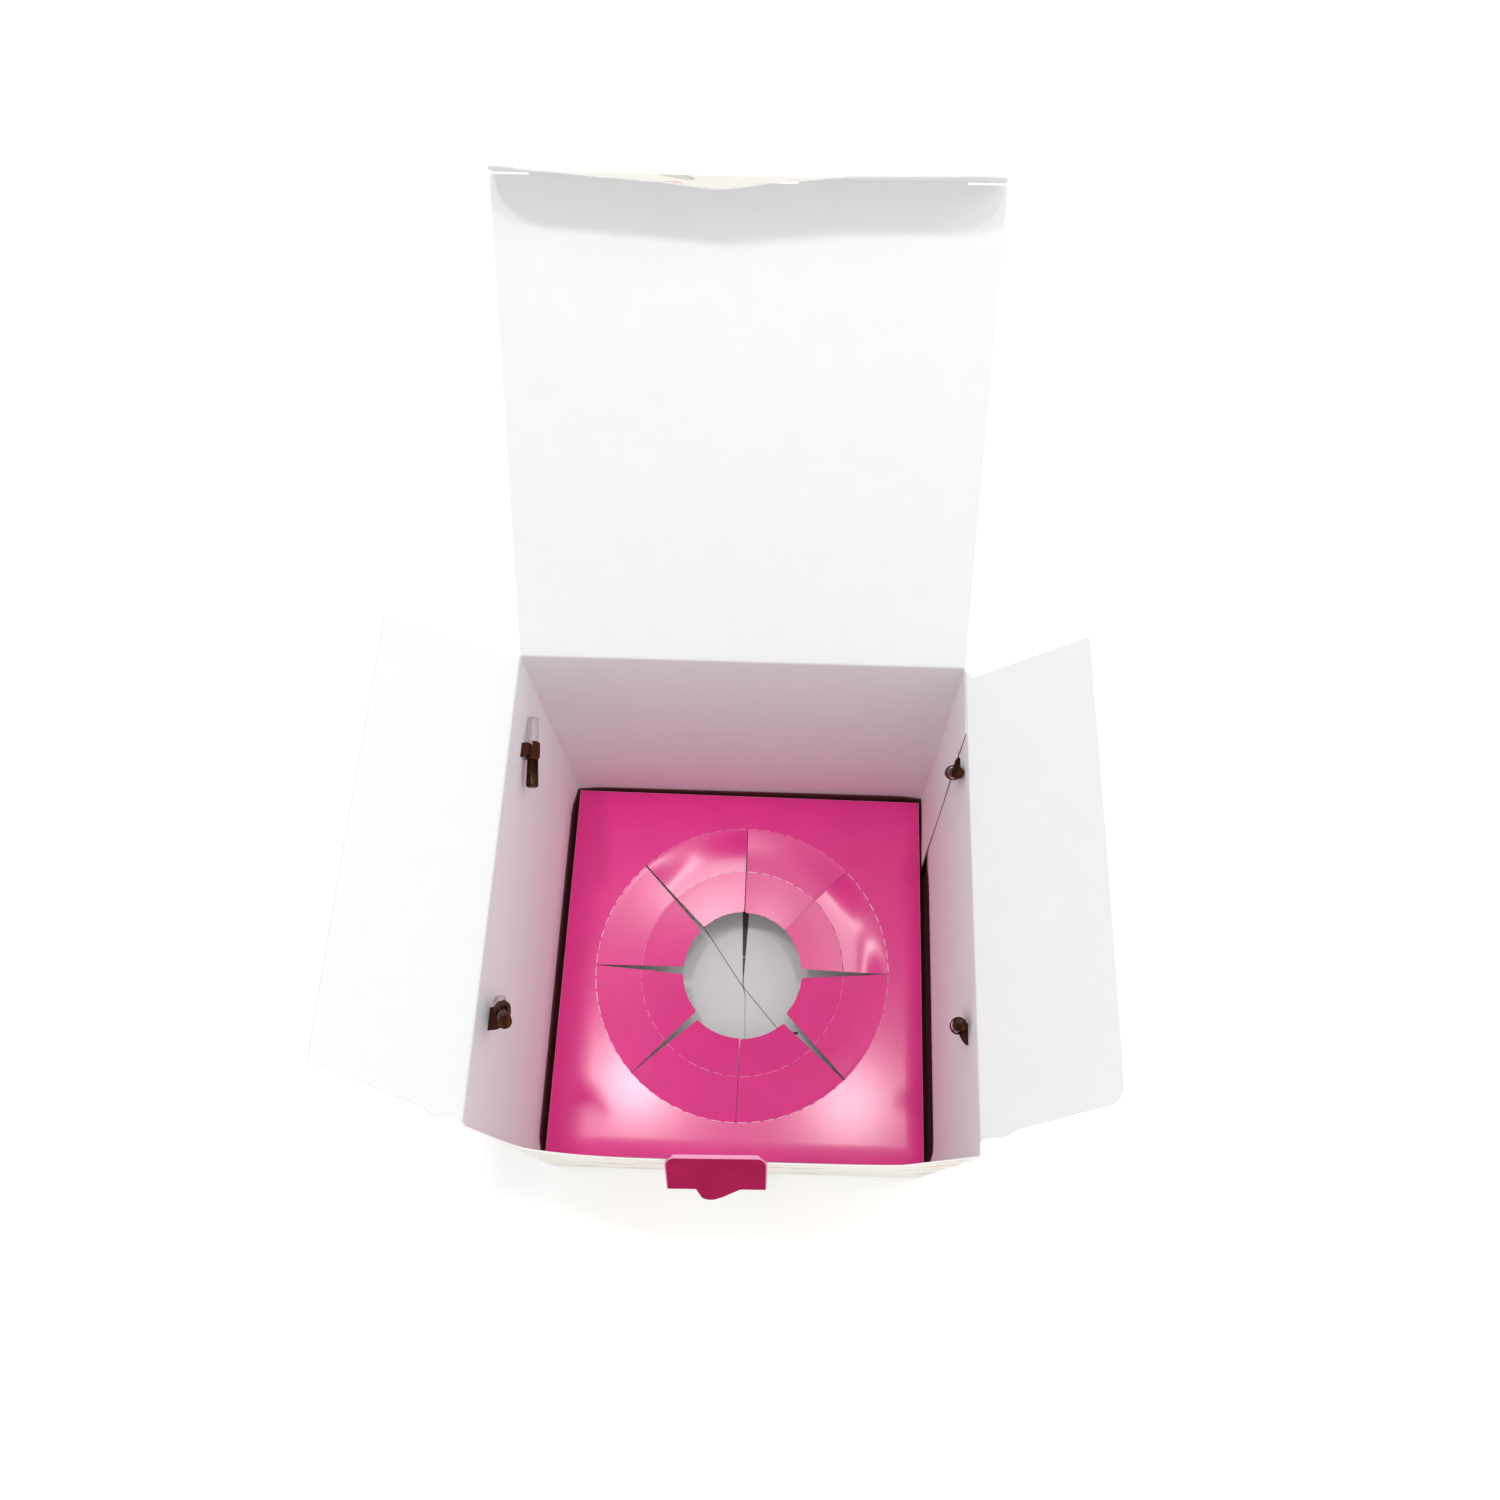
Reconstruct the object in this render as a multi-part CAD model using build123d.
from build123d import *
import os
from math import asin, atan, cos, degrees, pi, radians, sin, sqrt, tan

# A folding carton for a tall cake, open, with a perforated insert, a lock tab and two ribbon handles.
# The origin is the centre of the underside. +X is right, +Y is the side the lid is hinged on, +Z is up.

# Carton
inner_width = 170.0
inner_depth = 173.5
lid_height = 184.0  # the lid's crease above the table
board = 0.5
wall_bulge = 5.15  # how far the front wall's top edge bows outwards
left_push = 3.5  # how far its left corner is pushed back at the top
right_pull = 1.0  # how far its right corner is pulled forwards
# Between its corners: the share of half the width, and of the bulge
bulge_shares = [(-0.79, 0.475), (-0.68, 0.75), (-0.46, 0.97), (-0.2, 1.0), (0.2, 1.0), (0.68, 0.9), (0.8, 0.65)]

# Creases
fold_gap = 0.1  # from a crease's axis to the face that folds on it
edge_gap = 0.1  # from the axis to the folding panel's edge
crease_relief = 0.05
stack_gap = 0.2  # between the closed dust flaps and the lid

# Lid and tuck flap
lid_angle = 46.9  # above the horizontal, leaning back
lid_side_gap = 0.75
tuck_length = 20.0
tuck_fold = 92.0  # from flat
tuck_fold_limit = 110.0
tuck_corner = 14.0
tuck_end_gap = 1.2
tuck_clearance = 2.9
crease_slit_length = 13.0
crease_slit_width = 0.6
lock_slot_length = 33.0
lock_slot_depth = 1.2

# Dust flaps
dust_length = 54.5
dust_angles = [40.5, 46.5]  # left and right, above the horizontal, leaning out
dust_back_gap = 3.0
dust_tuck_gap = 0.9  # from their front edges to the closed tuck flap
dust_shoulder_length = 9.0
dust_front_tapers = [13.2, 11.7]
dust_back_tapers = [-1.5, 2.8]
dust_corner = 5.0

# Glue flap inside the right wall
glue_flap_width = 21.0
glue_flap_taper = 6.0
glue_flap_end_gap = 1.5

# Base flaps
base_lock_step = 1.0
base_cut = 0.15
base_crease_width = 0.6
base_crease_depth = 0.12
base_seam = 12.0  # where the lower flaps meet, behind the middle

# Insert
card = 0.4
deck_height = 31.0
insert_side_gap = 0.5  # beside the glue flap
insert_end_gap = 2.6
insert_corner = 1.0
skirt_corner_gap = 1.5
large_ring_margin = 15.8  # from the deck's edge to the large ring
small_ring_share = 0.692  # of the large ring's radius
hole_share = 0.403
petal_count = 8
petal_cut = 0.3
ring_cut = 0.2
petal_corner = 1.0
petal_droops = [5.0, 4.0, 4.0, 8.0, 9.0, 12.0, 13.0, 9.0]  # degrees, from the right, turning left

# Lock tab
tab_neck = 23.5
tab_width = 33.6
tab_foot_width = 31.6
tab_length = 27.0
tab_shoulder = 5.0
tab_corner = 4.5
tab_bump = 3.0
tab_bump_width = 15.0
tab_lean = 15.0  # from the vertical
tab_root_length = 20.0
tab_glue_gap = 0.02

# Handles
slit_drop = 21.0  # below the lid's crease
slit_length = 10.5
slit_width = 1.2
slit_back_gap = 30.25  # from the back wall to the middle of a slit
slit_front_gap = 40.75
ribbon_width = 9.5
ribbon = 0.5
ribbon_wall_gap = 0.4
toggle_dark_end = 4.6  # diameters
toggle_clear_end = 3.2
toggle_length = 27.0
toggle_standoff = 5.0
toggle_drop = 8.0
toggle_leans = {
    "left_back": (0.07, -0.95, -0.30),
    "left_front": (0.16, -0.44, 0.88),
    "right_back": (-0.12, -0.49, 0.86),
    "right_front": (-0.07, 0.10, 0.99),
}
# Half of a hanging loop: the share of the way from its middle to a slit, and the drop below the slit
loop_shares = [1.0, 0.98, 0.92, 0.72, 0.24]
loop_drops = [0.0, 36.0, 68.0, 95.0, 109.0]
loop_bend_share = 0.45  # of the shorter straight beside a bend

overrun = 1.0

width = inner_width + 2 * board
depth = inner_depth + 2 * board
crease_drop = sqrt(edge_gap**2 + (board + fold_gap) ** 2) + crease_relief
tuck_drop = (board + fold_gap) * tan(radians(tuck_fold_limit / 2)) + crease_relief
side_height = lid_height - board - fold_gap - stack_gap
base_top = 2 * board
lid_length = depth - board - card - tuck_clearance
deck_width = inner_width - 2 * board - 2 * insert_side_gap
deck_depth = inner_depth - 2 * insert_end_gap
large_ring_radius = min(deck_width, deck_depth) / 2 - large_ring_margin
small_ring_radius = large_ring_radius * small_ring_share
hole_radius = large_ring_radius * hole_share
petal_half_angle = pi / petal_count
slit_height = lid_height - slit_drop
handle_half_span = (inner_depth - slit_back_gap - slit_front_gap) / 2
handle_middle = (slit_front_gap - slit_back_gap) / 2
toggle_middle = (toggle_dark_end + toggle_clear_end) / 2


def save(node, solid):
    export_step(solid, "parts/" + node + ".step")


def block(low, high):
    size = [h - l for l, h in zip(low, high)]
    middle = [(l + h) / 2 for l, h in zip(low, high)]
    return Pos(*middle) * Box(*size)


def sheet(points, thickness):
    outline = Wire.make_polygon([Vector(*p) for p in points], close=True)
    return extrude(Face(outline), amount=thickness, dir=(0, 0, 1))


def hinged(solid, axis_point, away, inward):
    """Carries a panel drawn along X, running away from its crease along Y, to its crease."""
    away = Vector(*away)
    inward = Vector(*inward)
    return Plane(origin=axis_point, x_dir=away.cross(inward), z_dir=inward) * (Pos(0, 0, fold_gap) * solid)


def by_side(pair, side):
    return pair[0] if side < 0 else pair[1]


def back_wall():
    return block((-width / 2, depth / 2 - board, 0), (width / 2, depth / 2, lid_height - crease_drop))


def bowed_outline(share_up, height):
    """The front wall's section, from straight at the table, share 0, to fully bowed at the top, share 1."""
    steps = [(-1, -left_push)] + [(x, share * wall_bulge) for x, share in bulge_shares] + [(1, right_pull)]
    outside = [(x * width / 2, -depth / 2 - step * share_up) for x, step in steps]
    inside = [(x, y + board) for x, y in reversed(outside)]
    return Wire.make_polygon([Vector(x, y, height) for x, y in outside + inside], close=True)


def front_wall():
    return Solid.make_loft([bowed_outline(0, 0), bowed_outline(1, lid_height - crease_drop)], True)


def side_wall(side):
    top = side_height - crease_drop
    back, front = inner_depth / 2, -inner_depth / 2
    top_front = front - right_pull if side > 0 else front + left_push
    points = [(back, 0), (back, top), (top_front, top), (front, 0)]
    outline = Wire.make_polygon([Vector(inner_width / 2, y, z) for y, z in points], close=True)
    wall = extrude(Face(outline), amount=board, dir=(1, 0, 0))
    for end in (-1, 1):
        middle = handle_middle + end * handle_half_span
        wall -= Pos(inner_width / 2, middle, slit_height) * Box(board + 2 * overrun, slit_length, slit_width)
    return wall if side > 0 else mirror(wall, Plane.YZ)


def glue_flap():
    back = inner_depth / 2
    front = back - glue_flap_width
    low = base_top + glue_flap_end_gap
    high = side_height - crease_drop - glue_flap_end_gap
    points = [
        (back, low),
        (back, high),
        (front, high - glue_flap_taper),
        (front, low + glue_flap_taper),
    ]
    outline = Wire.make_polygon([Vector(inner_width / 2 - board, y, z) for y, z in points], close=True)
    return extrude(Face(outline), amount=board, dir=(1, 0, 0))


def side_base_flap(side):
    half_width = inner_width / 2
    half_depth = inner_depth / 2
    points = [
        (-half_width, -half_depth),
        (-base_lock_step - base_cut, -half_depth),
        (-base_lock_step - base_cut, 0),
        (base_lock_step, 0),
        (base_lock_step, half_depth),
        (-half_width, half_depth),
    ]
    flap = Pos(0, 0, board) * sheet(points, board)
    run = sqrt(inner_width**2 + inner_depth**2) / 2
    turn = degrees(atan(inner_depth / inner_width))
    crease = Box(run, base_crease_width, base_crease_depth)
    middle = (-half_width / 2, half_depth / 2, base_top - base_crease_depth / 2)
    flap -= Pos(*middle) * Rot(0, 0, -turn) * crease
    return flap if side < 0 else Rot(0, 0, 180) * flap


def end_base_flap(end):
    seam = base_seam + end * base_cut
    wall = end * inner_depth / 2
    return block((-inner_width / 2, min(seam, wall), 0), (inner_width / 2, max(seam, wall), board))


def lid_panel():
    half = width / 2 - lid_side_gap
    front = lid_length - tuck_drop
    panel = sheet([(-half, edge_gap), (half, edge_gap), (half, front), (-half, front)], board)
    panel -= Pos(0, front, 0) * Box(lock_slot_length, 2 * lock_slot_depth, 2 * board + overrun)
    for end in (-1, 1):
        middle = end * (half - crease_slit_length / 2)
        panel -= Pos(middle, front, 0) * Box(crease_slit_length, 2 * crease_slit_width, 2 * board + overrun)
    return hinged(panel, lid_axis, lid_away, lid_inward)


def tuck_flap():
    half = width / 2 - lid_side_gap - tuck_end_gap
    outline = sheet([(-half, edge_gap), (half, edge_gap), (half, tuck_length), (-half, tuck_length)], board)
    corners = outline.edges().filter_by(Axis.Z).group_by(Axis.Y)[-1]
    outline = fillet(corners, radius=tuck_corner)
    return hinged(outline, tuck_axis, tuck_away, tuck_inward)


def dust_flap(side):
    angle = radians(by_side(dust_angles, side))
    back = depth / 2 - dust_back_gap
    front = lid_length - depth / 2 - board - fold_gap - dust_tuck_gap
    points = [
        (-front, edge_gap),
        (back, edge_gap),
        (back - by_side(dust_back_tapers, side), dust_length),
        (-front + by_side(dust_front_tapers, side), dust_length),
        (-front, dust_shoulder_length),
    ]
    flap = sheet(points, board)
    far = flap.edges().filter_by(Axis.Z).group_by(Axis.Y)[-1]
    flap = fillet(far, radius=dust_corner)
    if side > 0:
        flap = mirror(flap, Plane.YZ)
    away = (side * cos(angle), 0, sin(angle))
    inward = (-side * sin(angle), 0, cos(angle))
    return hinged(flap, (side * width / 2, 0, side_height), away, inward)


def insert_deck():
    deck = Box(deck_width, deck_depth, card)
    deck = fillet(deck.edges().filter_by(Axis.Z), radius=insert_corner)
    deck -= Cylinder(large_ring_radius + ring_cut / 2, card + overrun)
    return Pos(0, 0, deck_height - card / 2) * deck


def insert_skirt(side):
    reach, run = deck_width / 2, deck_depth / 2
    if side in ("front", "back"):
        reach, run = run, reach
    run -= skirt_corner_gap
    skirt = block((reach - card, -run, base_top), (reach, run, deck_height - card))
    return Rot(0, 0, {"right": 0, "back": 90, "left": 180, "front": 270}[side]) * skirt


def sector(outer, inner, ring_radius):
    """A piece of a ring, with its mid outer edge at the origin and the ring's centre along Y."""
    outer_half = petal_half_angle - asin(petal_cut / 2 / outer)
    inner_half = petal_half_angle - asin(petal_cut / 2 / inner)

    def at(radius, turn):
        return Vector(radius * sin(turn), ring_radius - radius * cos(turn))

    a, b, c = at(outer, -outer_half), at(outer, 0), at(outer, outer_half)
    d, e, f = at(inner, inner_half), at(inner, 0), at(inner, -inner_half)
    outline = Wire([ThreePointArc(a, b, c), Line(c, d), ThreePointArc(d, e, f), Line(f, a)])
    return extrude(Face(outline), amount=card, dir=(0, 0, 1))


def petal_frame(index):
    """A petal's fold: the point on its axis, the way it runs, its upper side, and the turn about the middle."""
    turn = (2 * index + 1) * petal_half_angle
    droop = radians(petal_droops[index % len(petal_droops)])
    outwards = Vector(cos(turn), sin(turn), 0)
    up = Vector(0, 0, 1)
    runs = outwards * -cos(droop) - up * sin(droop)
    top = up * cos(droop) - outwards * sin(droop)
    return outwards * large_ring_radius + up * (deck_height - card), runs, top


def petal(index):
    start, runs, top = petal_frame(index)
    piece = sector(large_ring_radius - ring_cut / 2, small_ring_radius + ring_cut / 2, large_ring_radius)
    return Plane(origin=start, x_dir=runs.cross(top), z_dir=top) * piece


def petal_tip(index):
    start, runs, top = petal_frame(index)
    start += runs * (large_ring_radius - small_ring_radius)
    piece = sector(small_ring_radius - ring_cut / 2, hole_radius, small_ring_radius)
    points = piece.edges().filter_by(Axis.Z).group_by(Axis.Y)[-1]
    piece = fillet(points, radius=petal_corner)
    return Plane(origin=start, x_dir=runs.cross(top), z_dir=top) * piece


def tab_root():
    high = lid_height - crease_drop
    low = high - tab_root_length

    def face_at(height):
        return -depth / 2 - wall_bulge * height / high + board + tab_glue_gap

    points = [
        (face_at(low), low),
        (face_at(low) + card, low),
        (face_at(high) + card, high),
        (face_at(high), high),
    ]
    outline = Wire.make_polygon([Vector(-tab_neck / 2, y, z) for y, z in points], close=True)
    return extrude(Face(outline), amount=tab_neck, dir=(1, 0, 0))


def lock_tab():
    half = tab_width / 2
    foot = tab_foot_width / 2
    points = [
        (-tab_neck / 2, edge_gap),
        (tab_neck / 2, edge_gap),
        (half, tab_shoulder),
        (foot, tab_length),
        (-foot, tab_length),
        (-half, tab_shoulder),
    ]
    tab = sheet(points, card)
    uprights = tab.edges().filter_by(Axis.Z).group_by(Axis.Y)
    tab = fillet(list(uprights[1]) + list(uprights[-1]), radius=tab_corner)
    bump_radius = (tab_bump_width**2 / 4 + tab_bump**2) / (2 * tab_bump)
    bump = Pos(0, tab_length + tab_bump - bump_radius, card / 2) * Cylinder(bump_radius, card)
    reach = tab_bump + overrun
    window = Pos(0, tab_length + reach / 2 - overrun, card / 2) * Box(tab_bump_width, reach + overrun, card)
    tab += bump & window
    return hinged(tab, tab_axis, tab_away, tab_outward)


def handle_place(side, end):
    return side * inner_width / 2, handle_middle + end * handle_half_span


def toggle_half(name, side, end, sign):
    x, y = handle_place(side, end)
    lean = Vector(*toggle_leans[name]).normalized() * sign
    middle = Vector(x - side * toggle_standoff, y, slit_height - toggle_drop)
    half = toggle_length / 2
    end_diameter = toggle_dark_end if sign > 0 else toggle_clear_end
    bar = Pos(0, 0, half / 2) * Cone(toggle_middle / 2, end_diameter / 2, half)
    return Plane(origin=middle, z_dir=lean) * bar


def ribbon_end(name, side, end):
    x, y = handle_place(side, end)
    inner = abs(x) - toggle_standoff + toggle_middle / 2
    outer = abs(x) + board + ribbon_wall_gap + ribbon_width
    half = ribbon_width / 2
    strip = block((inner, y - half, slit_height - ribbon / 2), (outer, y + half, slit_height + ribbon / 2))
    hang = block(
        (inner, y - half, slit_height - toggle_drop),
        (inner + ribbon, y + half, slit_height + ribbon / 2),
    )
    piece = strip + hang
    if side < 0:
        piece = mirror(piece, Plane.YZ)
    for sign in (-1, 1):
        piece -= toggle_half(name, side, end, sign)
    return max(piece.solids(), key=lambda s: s.volume)


def ribbon_loop(side):
    x = side * (width / 2 + ribbon_wall_gap + ribbon_width / 2)
    top = slit_height - ribbon / 2
    half_route = [(share * handle_half_span, drop) for share, drop in zip(loop_shares, loop_drops)]
    backs = [(handle_middle + y, top - z) for y, z in half_route]
    fronts = [(handle_middle - y, top - z) for y, z in reversed(half_route)]
    points = [Vector(x, y, z) for y, z in backs + fronts]
    radii = []
    for before, here, after in zip(points, points[1:], points[2:]):
        turn = (here - before).get_angle(after - here)
        shorter = min((here - before).length, (after - here).length)
        radii.append(loop_bend_share * shorter / tan(radians(turn / 2)))
    route = FilletPolyline(*points, radius=radii)
    section = Plane(origin=points[0], x_dir=(1, 0, 0), z_dir=points[1] - points[0])
    loop = sweep(section * Rectangle(ribbon_width, ribbon), path=route)
    ideal = route.length * ribbon_width * ribbon
    print(f"loop radii {[round(r, 1) for r in radii]}, length {route.length:.1f}, "
          f"volume {loop.volume:.1f} of {ideal:.1f}")
    return loop


# Creases at rest: a point on the axis, the way the panel runs, and the side it folds towards
lid_lean = radians(lid_angle)
lid_axis = Vector(0, depth / 2, lid_height)
lid_away = Vector(0, cos(lid_lean), sin(lid_lean))
lid_inward = Vector(0, -sin(lid_lean), cos(lid_lean))
tuck_turn = radians(tuck_fold)
tuck_axis = lid_axis + lid_away * lid_length
tuck_away = lid_away * cos(tuck_turn) + lid_inward * sin(tuck_turn)
tuck_inward = lid_inward * cos(tuck_turn) - lid_away * sin(tuck_turn)
tab_turn = radians(tab_lean)
tab_axis = Vector(0, -depth / 2 - wall_bulge, lid_height - crease_drop + fold_gap)
tab_away = Vector(0, -sin(tab_turn), -cos(tab_turn))
tab_outward = Vector(0, -cos(tab_turn), sin(tab_turn))

os.makedirs("parts", exist_ok=True)
save("back_wall", back_wall())
save("front_wall", front_wall())
save("left_wall", side_wall(-1))
save("right_wall", side_wall(1))
save("glue_flap", glue_flap())
save("left_base_flap", side_base_flap(-1))
save("right_base_flap", side_base_flap(1))
save("front_base_flap", end_base_flap(-1))
save("back_base_flap", end_base_flap(1))
save("lid_panel", lid_panel())
save("tuck_flap", tuck_flap())
save("left_dust_flap", dust_flap(-1))
save("right_dust_flap", dust_flap(1))
save("insert_deck", insert_deck())
for side_name in ("left", "right", "front", "back"):
    save("insert_skirt_" + side_name, insert_skirt(side_name))
for number in range(petal_count):
    save(f"petal_{number + 1}", petal(number))
    save(f"petal_tip_{number + 1}", petal_tip(number))
save("tab_root", tab_root())
save("lock_tab", lock_tab())
for side_name, side_sign in (("left", -1), ("right", 1)):
    save("ribbon_loop_" + side_name, ribbon_loop(side_sign))
    for end_name, end_sign in (("back", 1), ("front", -1)):
        place = side_name + "_" + end_name
        save("ribbon_end_" + place, ribbon_end(place, side_sign, end_sign))
        save("toggle_dark_" + place, toggle_half(place, side_sign, end_sign, 1))
        save("toggle_clear_" + place, toggle_half(place, side_sign, end_sign, -1))
